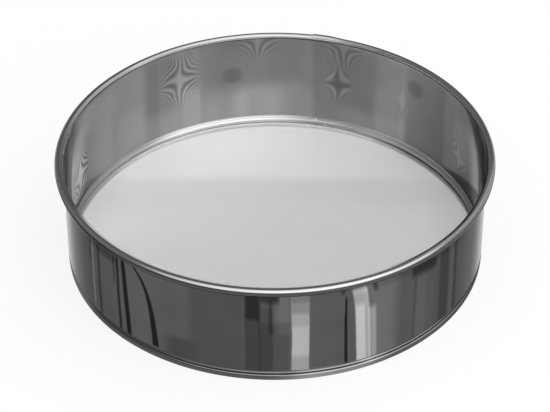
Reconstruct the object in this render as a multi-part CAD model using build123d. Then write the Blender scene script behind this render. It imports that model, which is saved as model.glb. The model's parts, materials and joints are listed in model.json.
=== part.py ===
from build123d import *
import math
import os

# A drum sieve: a hoop of polished steel strip with a fine wire cloth clamped in its lower edge.
# Millimetres. The origin is the middle of the resting face, +Z runs up the axis of the drum.

# The drum
wall_diameter = 300.0          # outside of the straight wall
drum_height = 83.0             # resting face to the crown of the rolled rim
sheet = 0.6                    # thickness of the strip
bend_flat = 45.0               # bends are drawn in flats of at most this turn, in degrees

# The rolled rim, the strip's top edge curled outwards over a wire
wire_diameter = 5.2
wire_clearance = 0.05          # all round, between the wire and the curl
curl_turn = 315.0              # degrees from the wall's upward run to the curl's end

# The hem, the strip's bottom edge turned inwards as a seat for the cloth
hem_radius = 1.2               # outside corner between the wall and the seat
seat_width = 3.7               # wall outside to the seat's free edge

# The rolled bead that locks the clamp ring in
bead_bottom = 2.9              # where the wall starts to turn inwards
bead_height = 6.1
bead_depth = 2.8
bead_lip_radius = 1.3          # middle of the sheet, where the wall turns into the bead

# The lapped seam of the strip, spot welded
seam_bearing = 74.0            # degrees from +X to the first full thickness of the lap
seam_lap = 13.0                # width of the lap round the wall
seam_joggle = 9.0              # length over which the lapped end runs out
seam_relief = 1.0              # the lapped end stops this far above the bead
seam_curl_turn = 270.0         # the lapped end's curl stops this far round, clear of the wall

# The wire cloth
cloth_wire = 0.28              # diameter of its wires, which cross two deep
cloth_clearance = 0.05         # between its edge and the hem's bend
grid_across = 9                # the weave is drawn as a plain grid, with so many openings across
grid_bar = 4.5                 # whose bars weigh about as much as the wires that they stand for
grid_edge_sides = 24           # the grid's round edge is drawn in so many flats
grid_least_share = 0.1         # of a whole opening; a smaller one at the edge is left out

# The clamp ring, a flat hoop on the cloth's edge, pressed down by the bead
ring_width = 3.0
ring_clearance = 0.1           # between the ring and the strip round it
ring_edge = 0.35               # broken top edge on the inside

# Sizes that follow
wall_radius = wall_diameter / 2
wall_middle = wall_radius - sheet / 2
cloth = 2 * cloth_wire
curl_middle = wire_diameter / 2 + wire_clearance + sheet / 2
rim_level = drum_height - curl_middle - sheet / 2
hem_middle = hem_radius - sheet / 2
half_bead = bead_height / 2
bead_angle = 2 * math.atan(bead_depth / half_bead)
bead_nose_radius = half_bead / math.sin(bead_angle) - bead_lip_radius
bead_turn = math.degrees(bead_angle)
ring_outside = wall_radius - sheet - ring_clearance
ring_inside = ring_outside - ring_width


def side_points(start, heading, steps, shift):
    """Points of a strip's side, which keeps a distance to the left of the strip's path.

    A step is a straight length, or a pair of the bend's radius and its turn in degrees,
    which is positive to the left.
    """
    direction = Vector(*heading)
    points = [Vector(*start) + direction.rotate(Axis.Z, 90) * shift]
    for step in steps:
        if isinstance(step, tuple):
            radius, turn = step
            bend = JernArc(points[-1], direction, radius - math.copysign(1, turn) * shift, turn)
            flats = math.ceil(abs(turn) / bend_flat)
            points += [bend @ (flat / flats) for flat in range(1, flats + 1)]
            direction = bend % 1
        else:
            points.append(points[-1] + direction * step)
    return points


def strip_face(start, heading, steps, low, high):
    """Section of a strip that follows a path, between two distances to the left of it."""
    lower = side_points(start, heading, steps, low)
    upper = side_points(start, heading, steps, high)
    return make_face(Polyline(*lower, *reversed(upper), close=True))


def spun(profile, bearing=0.0, arc=360.0):
    """A section drawn in radius and height, revolved about the drum's axis from a bearing."""
    return Rot(0, 0, bearing) * revolve(Plane.XZ * profile, Axis.Z, revolution_arc=arc)


def degrees_round_wall(length):
    return math.degrees(length / wall_middle)


def drum_wall():
    """The strip: seat, hem, bead, straight wall and curl, with its lapped and welded ends."""
    bead_top = bead_bottom + bead_height
    steps = [
        seat_width - hem_radius,
        (hem_middle, 90.0),
        bead_bottom - hem_radius,
        (bead_lip_radius, bead_turn),
        (bead_nose_radius, -2 * bead_turn),
        (bead_lip_radius, bead_turn),
        rim_level - bead_top,
        (curl_middle, -curl_turn),
    ]
    section = strip_face((wall_radius - seat_width, sheet / 2), (1, 0), steps, -sheet / 2, sheet / 2)
    lap_bottom = bead_top + seam_relief
    return spun(section) + lapped_end(lap_bottom) + joggle(lap_bottom)


def lapped_end(bottom):
    """The second layer of the strip inside the wall and round the curl."""
    steps = [rim_level - bottom, (curl_middle, -seam_curl_turn)]
    layer = strip_face((wall_middle, bottom), (0, 1), steps, 0, 1.5 * sheet)
    return spun(layer, seam_bearing, degrees_round_wall(seam_lap))


def joggle(bottom):
    """Where the wall steps in to lap itself, a wedge that thins from one sheet to nothing."""
    inner = wall_radius - 2 * sheet
    outer = wall_middle
    full = math.radians(seam_bearing)
    gone = full - seam_joggle / wall_middle
    corners = [
        Vector(inner * math.cos(full), inner * math.sin(full)),
        Vector(outer * math.cos(full), outer * math.sin(full)),
        Vector(outer * math.cos(gone), outer * math.sin(gone)),
    ]
    wedge = make_face(Polyline(*corners, close=True))
    return Pos(0, 0, bottom) * extrude(wedge, rim_level - bottom)


def rim_wire():
    """The round wire that the rim is curled over, a hoop drawn in the same flats as the curl."""
    inside_curl = -sheet / 2 - wire_clearance
    corners = side_points((wall_middle, rim_level), (0, 1), [(curl_middle, -curl_turn)], inside_curl)
    return spun(make_face(Polyline(*corners, close=True)))


def mesh_screen():
    """The woven cloth, drawn tight over the seat and pinched there by the clamp ring.

    The weave is far too fine to show, so a plain grid stands for it, two wires thick and open up to the ring.
    """
    edge = wall_radius - hem_radius - cloth_clearance
    pitch = 2 * ring_inside / grid_across
    opening = pitch - grid_bar
    places = GridLocations(pitch, pitch, grid_across, grid_across)
    openings = Sketch() + [place * Rectangle(opening, opening) for place in places]
    openings &= RegularPolygon(ring_inside, grid_edge_sides)
    least = grid_least_share * opening**2
    kept = openings.faces().filter_by(lambda face: face.area > least)
    return Pos(0, 0, sheet) * extrude(Circle(edge) - kept, cloth)


def top_corner(section, place):
    """A corner of the top edge of a ring's section: 0 is the one inside, -1 the one outside."""
    return section.vertices().sort_by(Axis.Y)[-2:].sort_by(Axis.X)[place]


def clamp_ring():
    """The flat hoop that holds the cloth down on its seat.

    Its top outer corner is bevelled to lie in the hollow where the wall turns into the bead.
    """
    bottom = sheet + cloth
    bevel = bead_lip_radius - sheet / 2 - ring_clearance
    height = bead_bottom + bevel - bottom
    section = Pos(ring_outside, bottom) * Rectangle(ring_width, height, align=(Align.MAX, Align.MIN))
    section = chamfer(top_corner(section, -1), bevel)
    return spun(chamfer(top_corner(section, 0), ring_edge))


pieces = {
    "drum_wall": drum_wall,
    "rim_wire": rim_wire,
    "mesh_screen": mesh_screen,
    "clamp_ring": clamp_ring,
}

os.makedirs("parts", exist_ok=True)
for name, make in pieces.items():
    export_step(make(), f"parts/{name}.step")
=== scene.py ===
import json
import math
import random

import bmesh
import bpy
from mathutils import Matrix, Quaternion, Vector

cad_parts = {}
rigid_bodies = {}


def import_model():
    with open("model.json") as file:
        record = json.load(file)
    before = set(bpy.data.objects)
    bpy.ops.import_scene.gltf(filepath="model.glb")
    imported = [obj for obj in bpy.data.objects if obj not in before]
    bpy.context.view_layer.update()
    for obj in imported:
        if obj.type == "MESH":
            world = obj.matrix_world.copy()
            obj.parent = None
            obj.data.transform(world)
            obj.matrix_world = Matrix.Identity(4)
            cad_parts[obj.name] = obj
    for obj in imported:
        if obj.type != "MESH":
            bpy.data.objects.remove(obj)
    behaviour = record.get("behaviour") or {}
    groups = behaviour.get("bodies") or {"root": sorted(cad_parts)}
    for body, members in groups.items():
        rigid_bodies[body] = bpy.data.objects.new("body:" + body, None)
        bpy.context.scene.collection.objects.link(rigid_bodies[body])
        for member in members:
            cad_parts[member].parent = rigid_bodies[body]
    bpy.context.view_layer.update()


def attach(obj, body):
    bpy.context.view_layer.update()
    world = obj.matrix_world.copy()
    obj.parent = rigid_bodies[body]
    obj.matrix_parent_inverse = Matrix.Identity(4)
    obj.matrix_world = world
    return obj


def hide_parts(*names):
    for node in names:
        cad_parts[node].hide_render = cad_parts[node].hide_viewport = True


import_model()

mm = 0.001


# The drum wall
# One strip of mirror-polished stainless steel, 0.6 mm thick, rolled to a hoop. Its foot is hemmed inwards as
# a seat and has a rolled bead, its top is curled outwards over a wire, and its ends lap at the back.

sheet = 0.6 * mm
wall_radius = 150.0 * mm
wall_middle = wall_radius - sheet / 2
drum_height = 83.0 * mm
seat_width = 3.7 * mm
hem_radius = 1.2 * mm
bead_bottom = 2.9 * mm
bead_height = 6.1 * mm
bead_depth = 2.8 * mm
bead_lip_radius = 1.3 * mm
wire_radius = 2.6 * mm
wire_clearance = 0.05 * mm
curl_turn = 315                # degrees
lap_bearing = 74.0             # degrees from +X, where the outer layer of the lap starts
lap_width = 13.0 * mm
lap_run_in = 9.0 * mm          # over which the inner layer steps in
lap_curl_turn = 270            # degrees
curl_flat = 15                 # degrees
hem_flats = 5
lip_flats = 6                  # of each bend between the wall and the bead
nose_flats = 7                 # of each half of the bead's nose
wall_sides = 358               # round the hoop, apart from the run in
run_in_sides = 4
lap_sides = 5
sharpest_bend = 35             # degrees; an edge that turns more stays sharp

curl_middle = wire_radius + wire_clearance + sheet / 2
rim_level = drum_height - curl_middle - sheet / 2
half_bead = bead_height / 2
bead_angle = 2 * math.atan(bead_depth / half_bead)
bead_turn = math.degrees(bead_angle)
bead_nose_radius = half_bead / math.sin(bead_angle) - bead_lip_radius
nose_level = bead_bottom + half_bead
bead_top = bead_bottom + bead_height


def strip_points(radius, level, heading, steps):
    """Points along a bent strip, as radius and height.

    A step is a straight run, or a bend's radius, turn and number of flats.
    """
    point = Vector((radius, level))
    points = [point.copy()]
    angle = math.radians(heading)
    for step in steps:
        if isinstance(step, tuple):
            bend, turn, flats = step
            part = math.radians(turn) / flats
            chord = 2 * bend * math.sin(abs(part) / 2)
            for flat in range(flats):
                point += chord * Vector((math.cos(angle + part / 2), math.sin(angle + part / 2)))
                points.append(point.copy())
                angle += part
        else:
            point += step * Vector((math.cos(angle), math.sin(angle)))
            points.append(point.copy())
    return points


def at_bearing(point, degrees):
    """A point given as radius and height, at a bearing round the drum."""
    angle = math.radians(degrees)
    return Vector((point[0] * math.cos(angle), point[0] * math.sin(angle), point[1]))


def draw_line(points):
    """Extrudes a line through points from one new vertex, in edit mode, on an object at the origin."""
    bpy.ops.mesh.select_all(action="DESELECT")
    bpy.ops.mesh.primitive_plane_add(size=mm, location=points[0])
    bpy.ops.mesh.merge(type="CENTER")
    for start, end in zip(points, points[1:]):
        bpy.ops.mesh.extrude_vertices_move(TRANSFORM_OT_translate={"value": end - start})
    bpy.ops.mesh.select_linked()


def new_piece(name):
    """An empty mesh object at the origin, in edit mode."""
    bpy.ops.object.select_all(action="DESELECT")
    bpy.ops.mesh.primitive_plane_add(size=mm)
    piece = bpy.context.object
    piece.name = name
    piece.data.name = name
    bpy.ops.object.mode_set(mode="EDIT")
    bpy.ops.mesh.delete(type="VERT")
    return piece


def select_where(piece, test):
    """Selects the vertices, in edit mode, whose place passes the test."""
    mesh = bmesh.from_edit_mesh(piece.data)
    for vertex in mesh.verts:
        vertex.select = test(vertex.co)
    mesh.select_flush_mode()
    bmesh.update_edit_mesh(piece.data)


def spin(degrees, steps):
    """Spins what is selected about the drum's axis, towards larger bearings."""
    bpy.ops.mesh.spin(steps=steps, angle=-math.radians(degrees), center=(0, 0, 0), axis=(0, 0, 1))


below_nose = [
    seat_width - hem_radius,
    (hem_radius - sheet / 2, 90, hem_flats),
    bead_bottom - hem_radius,
    (bead_lip_radius, bead_turn, lip_flats),
    (bead_nose_radius, -bead_turn, nose_flats),
]


def above_nose(turn, shift=0.0):
    """The strip from the bead's nose up, shifted to the inside of the wall."""
    return [
        (bead_nose_radius + shift, -bead_turn, nose_flats),
        (bead_lip_radius - shift, bead_turn, lip_flats),
        rim_level - bead_top,
        (curl_middle + shift, -turn, round(turn / curl_flat)),
    ]


drum = new_piece("drum_strip")
near = 0.05 * mm               # points closer than this are one
seat = wall_radius - seat_width
section = strip_points(seat, sheet / 2, 0, below_nose + above_nose(curl_turn))
draw_line([at_bearing(point, lap_bearing) for point in section])
run_in_turn = math.degrees(lap_run_in / wall_middle)
spin(360 - run_in_turn, wall_sides)
end_bearing = lap_bearing - run_in_turn

# The foot closes the hoop
foot = [at_bearing(point, end_bearing) for point in section if point[1] < nose_level + near]
select_where(drum, lambda place: any((place - point).length < near for point in foot))
spin(run_in_turn, run_in_sides)
bpy.ops.mesh.select_all(action="SELECT")
bpy.ops.mesh.remove_doubles(threshold=near)

# From the bead's nose up, the end steps in and laps the start
nose_radius = wall_middle - bead_depth
lapped = strip_points(nose_radius - sheet, nose_level, 90, above_nose(lap_curl_turn, sheet))
draw_line([at_bearing(point, lap_bearing) for point in lapped])
spin(math.degrees(lap_width / wall_middle), lap_sides)
nose_index = len(section) - len(lapped) - round((curl_turn - lap_curl_turn) / curl_flat)
stepped = [at_bearing(point, end_bearing) for point in section[nose_index:nose_index + len(lapped)]]
stepped += [at_bearing(point, lap_bearing) for point in lapped]
select_where(drum, lambda place: any((place - point).length < near for point in stepped))
bpy.ops.mesh.bridge_edge_loops(number_cuts=run_in_sides - 1, interpolation="LINEAR")

bpy.ops.mesh.select_all(action="SELECT")
bpy.ops.mesh.normals_make_consistent(inside=False)
wall_face = max(bmesh.from_edit_mesh(drum.data).faces, key=lambda face: face.calc_area())
if wall_face.normal.dot(wall_face.calc_center_median()) > 0:
    bpy.ops.mesh.flip_normals()
bpy.ops.object.mode_set(mode="OBJECT")
thicken = drum.modifiers.new("sheet", "SOLIDIFY")
thicken.thickness = sheet
thicken.offset = 0
thicken.use_even_offset = True
thicken.material_offset = 1
thicken.material_offset_rim = 1


class Value:
    """A shader socket in sums: each operator adds a Math node."""

    def __init__(self, finish, socket):
        self.finish = finish
        self.socket = socket

    def math(self, operation, *others, clamp=False):
        inputs = dict(enumerate((self, *others)))
        return self.finish.node("ShaderNodeMath", {"operation": operation, "use_clamp": clamp}, inputs)

    def __add__(self, other):
        return self.math("ADD", other)

    def __sub__(self, other):
        return self.math("SUBTRACT", other)

    def __rsub__(self, other):
        return self.finish.node("ShaderNodeMath", {"operation": "SUBTRACT"}, {0: other, 1: self})

    def __mul__(self, other):
        return self.math("MULTIPLY", other)

    def __truediv__(self, other):
        return self.math("DIVIDE", other)

    def __abs__(self):
        return self.math("ABSOLUTE")

    __radd__ = __add__
    __rmul__ = __mul__

    def clamped(self):
        return self.math("ADD", 0, clamp=True)

    def clamped_to(self, low, high):
        return self.math("MAXIMUM", low).math("MINIMUM", high)

    def above(self, level, soft):
        """1 where the value is above a level and 0 below it, with a soft step between."""
        sockets = {0: self, 1: level - soft, 2: level + soft}
        return self.finish.node("ShaderNodeMapRange", {"interpolation_type": "SMOOTHSTEP"}, sockets)

    def between(self, low, high, soft):
        return self.above(low, soft) - self.above(high, soft)


class Finish:
    """A node material, made node by node."""

    def __init__(self, name):
        self.material = bpy.data.materials.new(name)
        self.material.use_nodes = True
        self.tree = self.material.node_tree
        self.tree.nodes.clear()

    def node(self, kind, settings=None, sockets=None, output=0):
        """Adds a node, its settings first, and gives one of its outputs."""
        made = self.tree.nodes.new(kind)
        for name, value in (settings or {}).items():
            setattr(made, name, value)
        for name, value in (sockets or {}).items():
            if isinstance(value, Value):
                self.tree.links.new(value.socket, made.inputs[name])
            else:
                made.inputs[name].default_value = value
        return Value(self, made.outputs[output])

    def place(self):
        """The place on the surface, in metres from the middle of the resting face."""
        return self.node("ShaderNodeTexCoord", output="Object")

    def axes(self, vector):
        """The X, Y and Z of a vector."""
        parts = self.node("ShaderNodeSeparateXYZ", sockets={0: vector}).socket.node.outputs
        return [Value(self, part) for part in parts]

    def noise(self, vector, stretch, detail=2):
        """Noise between 0 and 1 of so many lumps per metre along X, Y and Z."""
        spread = self.node("ShaderNodeMapping", sockets={"Vector": vector, "Scale": stretch})
        return self.node("ShaderNodeTexNoise", sockets={"Vector": spread, "Scale": 1, "Detail": detail})

    def tint(self, factor, dark, light):
        """A colour between two colours."""
        sockets = {"Factor": factor, 6: (*dark, 1), 7: (*light, 1)}
        return self.node("ShaderNodeMix", {"data_type": "RGBA"}, sockets, output=2)

    def bump(self, height, distance, strength=1, over=None):
        """The normal of bumps, laid over other bumps where those are given."""
        sockets = {"Strength": strength, "Distance": distance, "Height": height}
        if over is not None:
            sockets["Normal"] = over
        return self.node("ShaderNodeBump", sockets=sockets)

    def metal(self, sockets):
        """Shows bare metal, with these values or links on the shader's own sockets."""
        self.show(self.node("ShaderNodeBsdfPrincipled", sockets={"Metallic": 1, **sockets}))

    def show(self, shader):
        """Puts a shader on the surface."""
        self.tree.links.new(shader.socket, self.tree.nodes.new("ShaderNodeOutputMaterial").inputs[0])


def from_axis(x, y):
    """Distance from the drum's axis."""
    return (x * x + y * y).math("SQRT")


def from_back(x, y):
    """Bearing from the back of the drum, in degrees, to the right positive."""
    return x.math("ARCTAN2", y) * math.degrees(1)


def from_front(x, y):
    """Bearing from the front of the drum, in degrees, to the right positive."""
    return x.math("ARCTAN2", y * -1) * math.degrees(1)


weld_bearing = 74.4            # degrees from +X
weld_levels = [19.3 * mm, 63.8 * mm]
weld_radius = 1.1 * mm
weld_slope = 0.3 * mm
weld_depth = 0.05 * mm
weld_dulling = 0.2
dent_depth = 1.5 * mm          # of the broad, shallow dents that blur what the sheet mirrors
dent_strength = 0.25
black = (0, 0, 0)
white = (1, 1, 1)
inside_white = (1, 1, 0.99)
outside_white = (1, 1, 0.97)
edge_tint = (0.5, 0.5, 0.5, 1)  # of what the sheet mirrors at a grazing angle


def weld_marks(finish, vector):
    """1 inside the round dents that spot welding leaves on both sides of the lap."""
    marks = 0
    for level in weld_levels:
        centre = at_bearing((wall_radius - sheet, level), weld_bearing)
        sockets = {0: vector, 1: centre}
        away = finish.node("ShaderNodeVectorMath", {"operation": "DISTANCE"}, sockets, output="Value")
        marks = marks + (1 - away.above(weld_radius, weld_slope))
    return marks


# Broad bands of painted reflection on the inside: from and to in degrees from the back, to the right
# positive, their softness, how many times as bright they are, and their lower end, upper end and its softness
# in mm
inside_reflection_bands = [
    (-73.5, -54.0, 4.0, 1.25, 8, 80, 1),
    (-72.0, -38.0, 4.0, 1.06, 56, 80, 8),
    (-52.0, -41.5, 2.0, 1.2, 8, 46, 9),
    (-41.5, -36.0, 1.0, 0.95, 8, 80, 1),
    (-36.0, -22.0, 1.2, 1.12, 8, 80, 1),
    (-28.0, -22.4, 0.6, 1.15, 8, 44, 5),
    (-21.5, -9.0, 3.0, 1.25, 5, 33, 8),
    (-12.0, 2.0, 3.5, 1.28, 5, 38, 9),
    (-2.0, 8.0, 2.0, 0.9, 44, 80, 6),
    (11.3, 31.0, 1.4, 0.84, 8, 80, 1),
    (11.3, 24.0, 1.4, 0.9, 8, 36, 8),
    (24.0, 30.0, 1.5, 0.88, 20, 42, 9),
    (39.0, 41.6, 0.6, 1.12, 8, 32, 5),
    (41.6, 58.0, 1.7, 0.7, 8, 80, 1),
    (48.0, 70.0, 5.0, 0.86, 8, 14, 5),
    (18.0, 42.0, 3.0, 0.8, 24, 80, 8),
    (44.0, 62.0, 2.0, 0.88, 26, 80, 8),
    (-41.0, -30.0, 2.0, 0.8, 30, 80, 8),
    (64.0, 77.0, 3.0, 1.28, 24, 66, 9),
    (110.0, 124.0, 2.0, 0.8, 8, 80, 1),
    (141.0, 150.0, 0.5, 1.3, 8, 80, 1),
    (-168.0, -154.0, 2.0, 1.25, 8, 80, 1),
    (-130.0, -112.0, 0.6, 0.75, 8, 80, 1),
]

# Faint four-armed fringes of painted reflection, where the weave is mirrored in the wall: degrees from the
# back, then level, half width and half height in mm, and strength
fringes = [
    (-29.0, 55, 20, 27, 0.36),
    (-73.5, 31, 26, 26, 0.55),
    (-5.0, 81, 17, 24, 0.28),
    (20.5, 80, 19, 24, 0.26),
    (19.2, 45, 11, 17, -0.36),
    (40.0, 48, 5, 14, 0.2),
    (66.0, 34, 15, 22, 0.22),
]

# Dim spots of painted reflection on the inside: degrees from the back, and level in mm
dim_reflection_spots = [(-12.7, 49), (45.0, 63)]

# Steps of painted highlight and shade on the bead's upper half: degrees from the back, softness, and what
# each adds from there
bead_light_steps = [(-36, 7, 0.32), (6, 9, -0.3), (28, 6, 0.1), (42, 5, -0.06)]

# Right of this bearing the nose is darker with painted shade
shaded_nose = (38, 10)           # degrees from the back, right of which the nose is duller, and softness

# Greys before any mark
wall_grey = 0.215
bead_grey = 0.38
# The grey under the bead's nose is a painted highlight, lightening the crevice above the ring
under_nose_highlight_grey = 0.85
rim_grey = 0.37

# Heights on the inside: an edge's level and softness, or two levels and softness
glare_heights = (14 * mm, 78 * mm, 5 * mm)
upper_half = (50 * mm, 20 * mm)
under_rim = (62 * mm, 12 * mm)
right_foot_top = (13 * mm, 2.5 * mm)
left_foot_top = (12.5 * mm, 2 * mm)
bead_end = (bead_top + 0.7 * mm, 0.5 * mm)
nose_underside = (nose_level - mm, 0.5 * mm)
nose_middle = (nose_level + 0.3 * mm, 0.5 * mm)

# Rings of the curl: an edge's distance outwards from the wall in mm and its softness, or two edges and theirs
curl_edge = (0.3, 0.2)
neck_face = (-0.05, 0.1)
neck_edge = (0.6, 0.12)
inner_left_ring = (0.4, 1.8, 0.4)
lip_edge = (2.1, 0.4)
front_lip_edge = (2.7, 0.5)
glint_ring = (3.3, 5, 0.35)
outer_edge = (curl_middle / mm, 0.4)
crown_ring = (curl_middle / mm - 0.2, curl_middle / mm + 1.1, 0.35)
shoulder_ring = (curl_middle / mm + 1.5, curl_middle / mm + 2.6, 0.35)

# Levels on the curl: height over the wire's middle in mm and softness, or two heights and theirs
neck_level = (0, 0.3)
dark_edge_level = (1.1, 0.3)
outer_side_level = (1.55, 0.3)
darkest_levels = (-0.6, 1.55, 0.3)

# Stretches round the curl: from and to in degrees from the back, to the right positive, and softness
left_lip_stretch = (-115, -50, 8)
right_lip_stretch = (91, 118, 4)
shaded_lip_stretch = (18, 36, 4)
inner_left_stretch = (-79, -40, 6)
all_but_front = (-118, 146, 7)
glint_stretch = (98, 142, 7)
lighter_stretch = (98, 165, 12)
dark_edge_stretch = (-137, -92, 6)
neck_side = (100, 5)           # degrees to either side, and softness
neck_left = (-38, 8)

wall_degree = wall_radius * math.radians(1)
fringe_bend = 9 * mm           # how far unevenness bends a fringe's lines
fringe_fineness = 1.2e5        # radians for each square metre across and up
spot_edge = 58 * mm ** 2       # where a dim spot has half faded, as the square of a distance
spot_fade = 42 * mm ** 2
glare_bearing = 82.6           # degrees from the back, of the line where the glare at each side ends
glare_lean = 10.6              # degrees, by which that line is nearer the back at glare_height
glare_height = 75 * mm
glare_end = (0, 0.5)           # degrees past that line, and softness, as the next two are
glare_start_right = (-5, 5.5)
glare_start_left = (-8, 6)
glare_gain = 5.8               # at the table's level, less glare_fall for each metre up
glare_fall = 80
glare_limits = (0.2, 5)
beyond_glare = (94, 3)         # degrees from the back, where what lies past that line ends, and softness
under_rim_stretch = (80, 93, 3)
foot_rise = 0.8 * mm           # of the dark foot, for each degree further from the back
right_foot_bearing = 61        # degrees from the back, where the dark foot has the height of its top
left_foot_bearing = 64
right_foot_end = (98, 3)       # degrees from the back, and softness
left_foot_end = (-98, 3)
inward_lean = 0.2              # slopes by which the curl's mirror leans
rightward_lean = 0.098
backward_lean = 0.139


def side_glare(back, z):
    """Painted reflection of the bright room at each side of the wall, up to a line that leans, with painted
    light and shade past it and under the rim; a change of tone.
    """
    side = abs(back)
    right = back.above(0, 10)
    height = z / glare_height
    past = side - glare_bearing + height * height * height * height * glare_lean
    beyond = past.above(*glare_end) * (1 - side.above(*beyond_glare))
    beside = right * past.above(*glare_start_right) + (1 - right) * past.above(*glare_start_left)
    beside = beside * (1 - past.above(*glare_end)) * z.between(*glare_heights)
    glare = 1 + beside * (glare_gain - z * glare_fall).clamped_to(*glare_limits)
    shade = 1 + beyond * (0.1 - right * (0.1 + 0.5 * z.above(*upper_half)))
    top = 1 + side.between(*under_rim_stretch) * z.above(*under_rim) * (1.4 + right * 1.6)
    return glare * shade * top


def fringe_lines(finish, vector, back, z):
    """The painted reflected fringes, whose lines are hyperbolas, bent a little; a change of tone."""
    bent = finish.noise(vector, (60, 60, 45), detail=1) - 0.5
    bent_up = finish.noise(vector, (45, 75, 60), detail=1) - 0.5
    change = 1
    for place, level, half_width, half_height, strength in fringes:
        across = (back - place) * wall_degree + bent * fringe_bend
        up = z - level * mm + bent_up * fringe_bend
        out = across * across / (half_width * mm) ** 2 + up * up / (half_height * mm) ** 2
        lines = (across * up * fringe_fineness).math("COSINE") * (1 - out.above(0.55, 0.45))
        change = change * (1 + lines * strength)
    return change


def shaded_foot(back, z):
    """Painted shade on the foot of the wall at both sides, higher the further from the back; a change of
    tone.
    """
    right_level = z - (back - right_foot_bearing) * foot_rise
    left_level = z - (back * -1 - left_foot_bearing) * foot_rise
    right = (1 - right_level.above(*right_foot_top)) * (1 - back.above(*right_foot_end))
    left = (1 - left_level.above(*left_foot_top)) * back.above(*left_foot_end)
    return (1 - 0.66 * right) * (1 - 0.33 * left)


def wall_tone_and_reflections(finish, vector, back, z, waves):
    """The tone of the wall's inside, between the bead and the curl, with painted reflections and painted
    shade.
    """
    upright = finish.noise(vector, (22, 22, 1.5), detail=3)
    clouds = finish.noise(vector, (30, 30, 22), detail=3)
    tone = wall_grey + upright * 0.06 + clouds * 0.09
    back_here = back + (waves - 0.5) * 2
    for start, end, soft, change, low, high, fade in inside_reflection_bands:
        mark = back_here.between(start, end, soft) * z.between(low * mm, high * mm, fade * mm)
        tone = tone * (1 + mark * (change - 1))
    for place, level in dim_reflection_spots:
        across = (back - place) * wall_degree
        up = (z - level * mm) * 1.1
        tone = tone * (1 - 0.25 * (1 - (across * across + up * up).above(spot_edge, spot_fade)))
    return tone * side_glare(back, z) * fringe_lines(finish, vector, back, z) * shaded_foot(back, z)


def bead_tone_and_light(back, z):
    """The tone of the bead, with painted light: a painted highlight under its nose, painted highlight and
    shade in steps round the drum above it, and painted shade on the nose to the right.
    """
    tone = bead_grey
    for place, soft, change in bead_light_steps:
        tone = tone + back.above(place, soft) * change
    under_nose = 1 - z.above(*nose_underside)
    tone = tone * (1 - under_nose) + under_nose * under_nose_highlight_grey
    return tone * (1 - 0.4 * back.above(*shaded_nose) * (1 - z.above(*nose_middle)))


def rim_tone_and_light(out, back, curl):
    """The tone of the curl, with painted highlights and shade on crown, shoulder and lips and a painted
    glint, and the haze of its inner lip, by the distance in mm outwards from the wall.
    """
    crown = out.between(*crown_ring)
    shoulder = out.between(*shoulder_ring)
    inner = curl * (1 - out.above(*lip_edge))
    lip = inner * (back.between(*left_lip_stretch) + 0.5 * back.between(*right_lip_stretch))
    shaded_lip = inner * back.between(*shaded_lip_stretch)
    left_lip = out.between(*inner_left_ring) * back.between(*inner_left_stretch)
    front_lip = curl * (1 - out.above(*front_lip_edge)) * (1 - back.between(*all_but_front))
    glint = out.between(*glint_ring) * back.between(*glint_stretch)
    tone = rim_grey * (1 - crown * 0.2) * (1 + shoulder * 0.15)
    tone = tone * (1 + lip * 0.35 + left_lip * 0.75 + front_lip * 1.7 - shaded_lip * 0.45)
    tone = tone * (1 + back.between(*lighter_stretch) * 0.3) * (1 + glint * 1.3)
    return tone, lip * 0.3 + front_lip * 0.5


def rim_shade_and_highlight(out, up, back):
    """Painted shade on the outer side of the curl, and a painted highlight on the neck that leads up to it; a
    change of tone.

    The distance outwards from the wall and the height over the wire's middle are in mm.
    """
    outer_side = out.above(*outer_edge) * (1 - up.above(*outer_side_level))
    change = 1 - outer_side * (0.66 + 0.12 * up.between(*darkest_levels))
    neck = up.above(*neck_level) * (1 - out.above(*neck_edge)) * (1 - abs(back).above(*neck_side))
    left_neck = neck * out.above(*neck_face) * (1 - back.above(*neck_left))
    dark_edge = outer_side * (1 - up.above(*dark_edge_level)) * back.between(*dark_edge_stretch)
    return change * (1 + neck * 0.3 + left_neck) * (1 - dark_edge * 0.65)


def strip_inside():
    """The inside of the strip: a bright mirror, with painted reflections and shade on the wall, and painted
    highlights and shade on bead and rim.
    """
    finish = Finish("strip_inside")
    vector = finish.place()
    x, y, z = finish.axes(vector)
    radius = from_axis(x, y)
    out = (radius - wall_middle) / mm
    back = from_back(x, y)
    grain = finish.noise(vector, (900, 900, 60), detail=2)
    waves = finish.noise(vector, (16, 16, 5), detail=1)
    welds = weld_marks(finish, vector)

    curl = out.above(*curl_edge)
    bead = 1 - z.above(*bead_end)
    wall_tone = wall_tone_and_reflections(finish, vector, back, z, waves)
    rim_tone, rim_haze = rim_tone_and_light(out, back, curl)
    tone = wall_tone * (1 - curl) * (1 - bead) + curl * rim_tone + bead * bead_tone_and_light(back, z)
    tone = tone * rim_shade_and_highlight(out, (z - rim_level) / mm, back) * (1 - welds * weld_dulling)

    dents = finish.bump(waves, dent_depth, dent_strength)
    # The curl mirrors as if it leaned a little inwards and to the back right
    slope = radius * inward_lean - x * rightward_lean - y * backward_lean
    lean = finish.bump(curl * slope, distance=1, over=dents)
    finish.metal({
        "Base Color": finish.tint(tone, black, inside_white),
        "Roughness": 0.06 + grain * 0.08 + bead * 0.3 + rim_haze,
        "Normal": finish.bump(1 - welds, weld_depth, over=lean),
        "Specular Tint": edge_tint,
    })
    return finish.material
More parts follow.
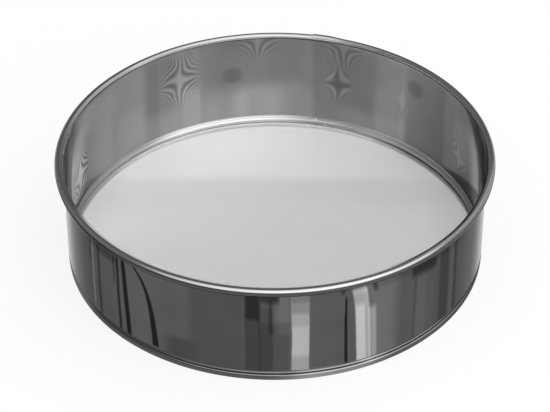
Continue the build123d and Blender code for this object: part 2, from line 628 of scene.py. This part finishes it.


# Upright streaks of painted reflection on the outside: from and to in degrees from the front, their softness,
# how many times as bright they are, and their lower and upper ends in mm, where 0 and 80 are the whole wall
streaks = [
    (-81.0, -73.5, 1.5, 0.55, 0, 80),
    (-74.5, -67.0, 1.2, 0.66, 0, 80),
    (-67.0, -57.5, 0.6, 0.87, 0, 80),
    (-58.0, -57.2, 0.3, 0.5, 50, 80),
    (-56.9, -56.1, 0.3, 2.0, 14, 74),
    (-54.2, -53.1, 0.35, 0.42, 0, 80),
    (-47.2, -46.5, 0.3, 0.5, 50, 80),
    (-45.9, -44.8, 0.3, 0.28, 0, 80),
    (-42.9, -41.2, 0.35, 0.16, 0, 80),
    (-29.5, -22.0, 2.5, 0.66, 0, 24),
    (-22.5, -8.0, 1.5, 0.76, 0, 80),
    (-8.0, -3.8, 0.5, 0.55, 0, 80),
    (-3.8, 3.6, 0.6, 0.78, 0, 52),
    (-4.3, -0.6, 0.5, 0.7, 0, 66),
    (-7.7, -3.9, 0.4, 0.45, 54, 80),
    (-1.5, -0.6, 0.5, 0.5, 40, 72),
    (-3.8, 1.2, 0.4, 0.35, 69, 80),
    (-58.0, -46.0, 1.5, 0.55, 66, 80),
    (28.0, 68.0, 3.0, 0.75, 67, 80),
    (0.6, 3.9, 0.8, 1.3, 40, 80),
    (4.2, 8.8, 0.25, 4.1, 0, 80),
    (4.2, 8.8, 0.25, 0.8, 47, 80),
    (4.2, 8.8, 0.25, 0.68, 59, 80),
    (4.2, 8.8, 0.25, 0.75, 69, 80),
    (4.2, 8.8, 0.25, 0.75, 0, 22),
    (18.2, 19.05, 0.25, 0.16, 0, 66),
    (17.0, 18.2, 0.3, 0.35, 70, 80),
    (21.5, 26.0, 0.5, 1.3, 66, 80),
    (21.5, 24.1, 0.35, 1.55, 0, 58),
    (21.5, 25.4, 0.35, 3.5, 0, 70),
    (25.4, 27.2, 0.5, 2.2, 0, 54),
    (25.5, 33.0, 2.0, 1.5, 0, 80),
    (27.2, 28.5, 0.4, 0.4, 65, 73),
    (37.8, 46.8, 0.4, 0.4, 63, 72),
    (38.6, 39.5, 0.3, 0.75, 0, 63),
    (39.5, 43.0, 1.2, 1.15, 0, 63),
    (47.0, 57.0, 1.5, 0.9, 0, 80),
    (48.6, 52.4, 0.5, 0.66, 0, 80),
    (53.0, 54.8, 0.4, 1.3, 0, 80),
    (55.1, 56.3, 0.3, 0.6, 0, 80),
    (57.0, 66.0, 1.5, 0.96, 0, 80),
    (65.0, 75.0, 1.5, 0.42, 0, 80),
    (75.0, 80.5, 1.5, 0.62, 0, 80),
    (101.0, 107.5, 0.4, 2.6, 0, 80),
    (121.0, 122.2, 0.3, 0.3, 0, 80),
    (126.0, 139.0, 1.5, 1.7, 0, 80),
    (150.0, 152.6, 0.4, 0.45, 0, 80),
    (167.0, 171.5, 0.3, 3.6, 0, 80),
    (-172.0, -169.0, 0.4, 0.4, 0, 80),
    (-161.0, -148.0, 1.2, 1.7, 0, 80),
    (-131.0, -129.6, 0.3, 0.3, 0, 80),
    (-113.0, -106.0, 0.4, 2.8, 0, 80),
    (-93.0, -90.5, 0.4, 0.5, 0, 80),
]

# Much darker than the inside's grey: a painted reflection of the dark room that the outside mirrors
outside_grey = 0.065
whole_wall = (0, 80)
streak_fade = 3 * mm           # softness of a streak's ends
streak_sway = 14 * mm          # how far those ends wander
bow_height = 80 * mm
leaning_place = 32.7           # degrees to the left of the front, at the foot of the streak that leans
left_bow = 1.5                 # degrees, by which the streaks there bow aside at bow_height
right_bow = 2.6

# Stretches of the outside: an edge in degrees from the front and its softness, or two edges and theirs
left_bowed = (-44.2, -36, 0.6)
right_bowed = (18.8, 30, 1.2)
dark_groove = (1, 24, 3)
light_foot = (4, 27, 7)
left_foot = (-60, 5)

# Heights and a radius on the outside: an edge and its softness, or two levels and their softness
foot_top = (bead_top, 0.8 * mm)
leaning_heights = (bead_top + mm, 74 * mm, mm)
dark_line = (7.4 * mm, 9 * mm, 0.3 * mm)
groove_edge = (wall_radius - 0.4 * mm, 0.2 * mm)


def strip_outside():
    """The outside of the wall: a mirror darkened by a painted reflection of a dark room, with narrow upright
    streaks of painted reflection and shade, and a dark one that leans.
    """
    finish = Finish("strip_outside")
    vector = finish.place()
    x, y, z = finish.axes(vector)
    turn = from_front(x, y)
    bands = finish.noise(vector, (26, 26, 1.5), detail=3)
    clouds = finish.noise(vector, (30, 30, 30), detail=3)
    grain = finish.noise(vector, (900, 900, 60), detail=2)
    waves = finish.noise(vector, (16, 16, 4), detail=1)
    wobble = finish.noise(vector, (14, 14, 20), detail=2) - 0.5
    welds = weld_marks(finish, vector)
    tone = outside_grey + bands * 0.035 + clouds * 0.035

    # The painted reflection streaks, some of which bow aside towards the rim
    foot = 1 - z.above(*foot_top)
    height = z / bow_height
    square = height * height
    bow = square * turn.between(*left_bowed) * left_bow
    bow = bow + square * square * turn.between(*right_bowed) * right_bow
    turn_here = turn + (waves - 0.5) * 1.2 + wobble * 1.1 + bow
    level_here = z + wobble * streak_sway
    for start, end, soft, change, low, high in streaks:
        mark = turn_here.between(start, end, soft) * (1 - foot)
        if (low, high) != whole_wall:
            mark = mark * level_here.between(low * mm, high * mm, streak_fade)
        tone = tone * (1 + mark * (change - 1))
    # A dark streak of painted reflection that leans
    leaning = turn + wobble * 1.4 + square * square * square * 9 + height * 2 + leaning_place
    half_width = 1.1 - height * 0.7
    mark = leaning.between(half_width * -1, half_width, 0.35) * z.between(*leaning_heights)
    tone = tone * (1 - 0.85 * mark)

    # Painted light in the groove, a painted shade line along its upper edge, and painted highlights on parts
    # of the foot
    groove = 1 - from_axis(x, y).above(*groove_edge)
    tone = tone * (1 + groove * (1.1 - turn.between(*dark_groove)))
    tone = tone * (1 - 0.45 * z.between(*dark_line))
    tone = tone * (1 + foot * turn.between(*light_foot) * 1.6)
    tone = tone * (1 + foot * (1 - turn.above(*left_foot)) * 0.9)

    dents = finish.bump(waves, dent_depth, dent_strength)
    finish.metal({
        "Base Color": finish.tint(tone * (1 - welds * weld_dulling), black, outside_white),
        "Roughness": 0.05 + grain * 0.08,
        "Normal": finish.bump(1 - welds, weld_depth, over=dents),
        "Specular Tint": edge_tint,
    })
    return finish.material


drum.data.materials.append(strip_inside())
drum.data.materials.append(strip_outside())
bpy.ops.object.modifier_apply(modifier="sheet")
bpy.ops.object.shade_smooth_by_angle(angle=math.radians(sharpest_bend))
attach(drum, "root")
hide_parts("drum_wall")


# The rim wire
# A drawn steel wire, 5.2 mm thick, bent to a hoop with butted ends. The top of the strip is curled over it,
# which makes the rim stiff and hides the wire.

wire_sides = 12
wire_lengths = 240             # straight lengths that the hoop is drawn in
wire_joint = 0.6 * mm          # between its butted ends
wire_dark = (0.36, 0.35, 0.34)
wire_light = (0.52, 0.51, 0.5)

wire = new_piece("wire_hoop")
wire_line_radius = wall_middle + curl_middle
bpy.ops.mesh.primitive_circle_add(
    vertices=wire_sides,
    radius=wire_radius,
    fill_type="NGON",
    location=(wire_line_radius, 0, rim_level),
    rotation=(math.radians(90), 0, 0),
)
spin(360 - math.degrees(wire_joint / wire_line_radius), wire_lengths)
bpy.ops.mesh.select_all(action="SELECT")
bpy.ops.mesh.normals_make_consistent(inside=False)
bpy.ops.object.mode_set(mode="OBJECT")
bpy.ops.object.shade_smooth_by_angle(angle=math.radians(sharpest_bend))


def drawn_wire():
    """Plain drawn steel, dull, with fine marks along the wire."""
    finish = Finish("drawn_wire")
    marks = finish.noise(finish.place(), (120, 120, 4000), detail=3)
    finish.metal({
        "Base Color": finish.tint(marks, wire_dark, wire_light),
        "Roughness": 0.3 + marks * 0.2,
    })
    return finish.material


wire.data.materials.append(drawn_wire())
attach(wire, "root")
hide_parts("rim_wire")


# The wire cloth
# Fine woven stainless cloth, about 60 wires to the inch, drawn tight and flat over the seat. The wires across
# the drum lie under those along it, and both lie in the middle of the room between the seat and the ring.

cloth_room = 0.56 * mm
cloth_wire = 0.2 * mm
inch = 25.4 * mm
cloth_pitch = inch / 60
cloth_clearance = 0.05 * mm
cloth_radius = wall_radius - hem_radius - cloth_clearance
cloth_wire_sides = 6
cloth_smooth = 70              # degrees
warp_slack = 0.02 * mm         # how far a wire lies from its even place, at most
weft_slack = 0.015 * mm
slack_seed = 7


def cloth_layer(name, level, uneven, across):
    """A layer of straight wires, a little unevenly spaced, cut to the round of the cloth."""
    bpy.ops.object.select_all(action="DESELECT")
    count = 2 * int((cloth_radius - cloth_wire) / cloth_pitch) + 1
    first = -(count - 1) / 2 * cloth_pitch
    bpy.ops.mesh.primitive_cylinder_add(
        vertices=cloth_wire_sides,
        radius=cloth_wire / 2,
        depth=2,
        rotation=(0, math.radians(90), 0),
        location=(0, first, level),
    )
    bpy.ops.object.transform_apply(location=True, rotation=True, scale=True)
    layer = bpy.context.object
    layer.name = name
    layer.data.name = name
    weave = layer.modifiers.new("row", "ARRAY")
    weave.count = count
    weave.use_relative_offset = False
    weave.use_constant_offset = True
    weave.constant_offset_displace = (0, cloth_pitch, 0)
    bpy.ops.object.modifier_apply(modifier="row")
    slack = random.Random(slack_seed)
    shifts = [slack.uniform(-uneven, uneven) for wire_number in range(count)]

    # Each wire is 2 m long so far, from -1 to 1, so that times half its chord it ends at the cloth's edge
    for vertex in layer.data.vertices:
        number = round((vertex.co.y - first) / cloth_pitch)
        row = first + number * cloth_pitch + shifts[number]
        vertex.co.y += shifts[number]
        half_chord = math.sqrt(cloth_radius ** 2 - row ** 2)
        vertex.co.x *= half_chord
    if not across:
        layer.data.transform(Matrix.Rotation(math.radians(90), 4, "Z"))
    bpy.ops.object.shade_smooth_by_angle(angle=math.radians(cloth_smooth))
    return layer


cloth_grey = 0.843
cloth_ripple = 14 * mm         # how far the bright back part's edge wanders

# Parts of the cloth with painted light and shade: an edge's X or Y and its softness, or two edges and their
# softness
lit_back = (78 * mm, 7 * mm)
shaded_before_it = (45 * mm, 78 * mm, 9 * mm)
far_back = (105 * mm, 25 * mm)
behind_front = (-45 * mm, 30 * mm)
right_half = (50 * mm, 70 * mm)
both_sides = (105 * mm, 40 * mm)


def woven_wire():
    """Bright annealed wire, finely pitted, with painted light: lighter towards the edge of the cloth all
    round, brightest at the back.
    """
    finish = Finish("woven_wire")
    vector = finish.place()
    x, y, z = finish.axes(vector)
    patches = finish.noise(vector, (9, 30, 1), detail=3)
    marks = finish.noise(vector, (2500, 2500, 2500), detail=1)
    ripple = y + (finish.noise(vector, (12, 12, 1), detail=2) - 0.5) * cloth_ripple
    tone = cloth_grey + patches * 0.05
    tone = tone + ripple.above(*lit_back) * 0.08 - ripple.between(*shaded_before_it) * 0.015
    tone = tone + y.above(*far_back) * 0.04 + (1 - y.above(*behind_front)) * 0.03
    tone = tone + x.above(*right_half) * 0.05 + abs(x).above(*both_sides) * 0.06
    finish.metal({
        "Base Color": finish.tint(tone, black, white),
        "Roughness": 0.4 + marks * 0.16,
    })
    return finish.material


cloth_finish = woven_wire()
cloth_middle = sheet + cloth_room / 2
warp = cloth_layer("cloth_warp", cloth_middle - cloth_wire / 2, warp_slack, across=True)
weft = cloth_layer("cloth_weft", cloth_middle + cloth_wire / 2, weft_slack, across=False)
for layer in (warp, weft):
    layer.data.materials.append(cloth_finish)
    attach(layer, "root")
    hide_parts("mesh_screen")


# The clamp ring
# A flat stainless hoop inside the foot of the drum. It presses the cloth on its seat, and the bead, rolled in
# above its bevelled corner, holds it there. Its ends meet at the lap and are tacked together.

ring_width = 3.0 * mm
ring_clearance = 0.1 * mm
ring_edge = 0.35 * mm
ring_joint = 0.25 * mm
ring_joint_bearing = 77.6      # degrees from +X
ring_lengths = 360             # straight lengths that the hoop is drawn in
ring_smooth = 25               # degrees
ring_grey = 0.62
crisp = 0.05 * mm              # softness of the lines along the ring's edges
# The ring is darker with painted shade right of the first bearing and left of the second
right_of_ring = (38, 10)       # degrees from the back, and softness
left_of_ring = (-50, 10)

ring_outside = wall_radius - sheet - ring_clearance
ring_bottom = sheet + cloth_room
ring_bevel = bead_lip_radius - sheet / 2 - ring_clearance
ring_top = bead_bottom + ring_bevel
ring_inside = ring_outside - ring_width

ring = new_piece("ring_hoop")
corners = [
    (ring_inside, ring_bottom),
    (ring_outside, ring_bottom),
    (ring_outside, ring_top - ring_bevel),
    (ring_outside - ring_bevel, ring_top),
    (ring_inside + ring_edge, ring_top),
    (ring_inside, ring_top - ring_edge),
]
gap_turn = math.degrees(ring_joint / ring_outside)
draw_line([at_bearing(corner, ring_joint_bearing + gap_turn / 2) for corner in corners])
bpy.ops.mesh.edge_face_add()
spin(360 - gap_turn, ring_lengths)
bpy.ops.mesh.select_all(action="SELECT")
bpy.ops.mesh.normals_make_consistent(inside=False)
bpy.ops.object.mode_set(mode="OBJECT")
bpy.ops.object.shade_smooth_by_angle(angle=math.radians(ring_smooth))


def ring_polish_and_shade():
    """Flat bar, ground and half polished, with fine marks along it, and painted shade towards both sides.

    Its flat top has a painted highlight, brighter than its side, and the broken edge between them has painted
    shade.
    """
    finish = Finish("ring_polish_and_shade")
    vector = finish.place()
    x, y, z = finish.axes(vector)
    patches = finish.noise(vector, (30, 30, 1), detail=3)
    marks = finish.noise(vector, (150, 150, 5000), detail=3)
    back = from_back(x, y)
    right = back.above(*right_of_ring)
    left = 1 - back.above(*left_of_ring)
    tone = (ring_grey + patches * 0.16) * (1 - 0.46 * right) * (1 - 0.2 * left)
    flat_top = from_axis(x, y).above(ring_inside + ring_edge, crisp) * z.above(ring_top - 2 * crisp, crisp)
    broken_edge = z.above(ring_top - ring_edge, 2 * crisp) * (1 - flat_top)
    tone = tone * (1 + flat_top * (0.4 - 0.2 * right) - broken_edge * 0.4)
    finish.metal({
        "Base Color": finish.tint(tone, black, inside_white),
        "Roughness": 0.28 + marks * 0.2,
    })
    return finish.material


ring.data.materials.append(ring_polish_and_shade())
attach(ring, "root")
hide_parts("clamp_ring")


# The tacks
# Small bright beads of weld where the lap crosses the rolled bead and the ring's ends meet, left as they set.

tack_rings = 8
ripple_depth = 0.1 * mm
weld_grey = (0.75, 0.75, 0.75)

# Bearing from +X in degrees, radius and level on the drum, and the tack's own radius
tack_places = [
    (77.7, nose_radius + 1.1 * mm, nose_level + 1.8 * mm, 1.3 * mm),
    (77.0, nose_radius + 0.9 * mm, nose_level + 1.6 * mm, 0.9 * mm),
    (74.6, nose_radius, nose_level - 0.3 * mm, 1.0 * mm),
    (80.0, ring_inside + 0.3 * mm, ring_top - 1.0 * mm, 0.9 * mm),
    (77.0, ring_inside + 0.3 * mm, ring_top - 0.8 * mm, 1.1 * mm),
    (76.2, ring_inside + 0.2 * mm, ring_top - 0.9 * mm, 0.9 * mm),
    (74.3, ring_inside - 0.2 * mm, ring_bottom + 0.3 * mm, 0.7 * mm),
]

tacks = new_piece("seam_tacks")
for tack_bearing, tack_radius, tack_level, tack_size in tack_places:
    bpy.ops.mesh.select_all(action="DESELECT")
    bpy.ops.mesh.primitive_uv_sphere_add(
        segments=2 * tack_rings,
        ring_count=tack_rings,
        radius=tack_size,
        location=at_bearing((tack_radius, tack_level), tack_bearing),
    )
bpy.ops.object.mode_set(mode="OBJECT")
bpy.ops.object.shade_smooth()


def set_weld():
    """Steel that has run and set smooth, bright on top."""
    finish = Finish("set_weld")
    ripples = finish.noise(finish.place(), (2200, 2200, 2200), detail=2)
    finish.metal({
        "Base Color": finish.tint(ripples, weld_grey, white),
        "Roughness": 0.3,
        "Normal": finish.bump(ripples, ripple_depth, strength=0.6),
    })
    return finish.material


tacks.data.materials.append(set_weld())
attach(tacks, "root")
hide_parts("clamp_ring")


# The setting
# A white table and a plain grey room with one large soft lamp above, on the camera's side.

table_size = 8.0
room_grey = 0.3
lamp_size = 4.6
lamp_distance = 1.3
lamp_height = 60               # degrees above the table
lamp_turn = 42                 # degrees to the right of the camera
lamp_spread = 124              # degrees; its light fades to the sides, so that its edge is soft
lamp_radiance = 0.97           # watts from each square metre, in each steradian
table_glow = 0.85
shade_under_cloth = 0.22            # of that glow, under the cloth
shade_inset = 4 * mm           # from the wall's outside to the edge of what the cloth covers
camera_place = (0, -1.2895, 1.0208)
camera_lens = 147.4            # in millimetres, as the sensor's width is
sensor_width = 36
aim_level = 0.0342             # where the camera's line of sight meets the drum's axis
camera_roll = -0.12            # degrees

bpy.ops.object.select_all(action="DESELECT")
bpy.ops.mesh.primitive_plane_add(size=table_size)
table = bpy.context.object
table.name = "table"


def white_table():
    """Matt white, mostly lit from within wherever it is seen or mirrored, so that its shadows stay pale.

    Under the drum its glow is dimmed, a painted shade, since the cloth keeps half of the light off it.
    """
    finish = Finish("white_table")
    x, y, z = finish.axes(finish.place())
    open_table = from_axis(x, y).above(wall_radius - shade_inset, mm)
    matt_white = {"Base Color": (0.9, 0.9, 0.9, 1), "Roughness": 0.9}
    paint = finish.node("ShaderNodeBsdfPrincipled", sockets=matt_white)
    glow = finish.node("ShaderNodeEmission", sockets={"Color": (1, 1, 1, 1), "Strength": 1})
    rays = 0
    for kind in ("Camera", "Glossy", "Transmission"):
        rays = rays + finish.node("ShaderNodeLightPath", output=f"Is {kind} Ray")
    seen = rays.clamped() * (table_glow - shade_under_cloth * (1 - open_table))
    finish.show(finish.node("ShaderNodeMixShader", sockets={0: seen, 1: paint, 2: glow}))
    return finish.material


table.data.materials.append(white_table())

lift = math.radians(lamp_height)
aside = math.radians(lamp_turn)
bpy.ops.object.light_add(
    type="AREA",
    location=(
        lamp_distance * math.cos(lift) * math.sin(aside),
        -lamp_distance * math.cos(lift) * math.cos(aside),
        lamp_distance * math.sin(lift),
    ),
    rotation=(math.radians(90) - lift, 0, aside),
)
lamp = bpy.context.object.data
lamp.shape = "DISK"
lamp.size = lamp_size
lamp.spread = math.radians(lamp_spread)
lamp.energy = lamp_radiance * (math.pi * lamp_size / 2) ** 2
bpy.context.object.visible_camera = False

room = bpy.data.worlds.new("room")
room.use_nodes = True
room.node_tree.nodes["Background"].inputs["Color"].default_value = (room_grey, room_grey, room_grey, 1)
bpy.context.scene.world = room

bpy.ops.object.camera_add(location=camera_place)
camera = bpy.context.object
camera.data.sensor_width = sensor_width
camera.data.lens = camera_lens
aim = Vector((0, 0, aim_level)) - camera.location
roll = Quaternion((0, 0, 1), math.radians(camera_roll))
camera.rotation_euler = (aim.to_track_quat("-Z", "Y") @ roll).to_euler()
bpy.context.scene.camera = camera
bpy.context.scene.view_settings.view_transform = "Standard"
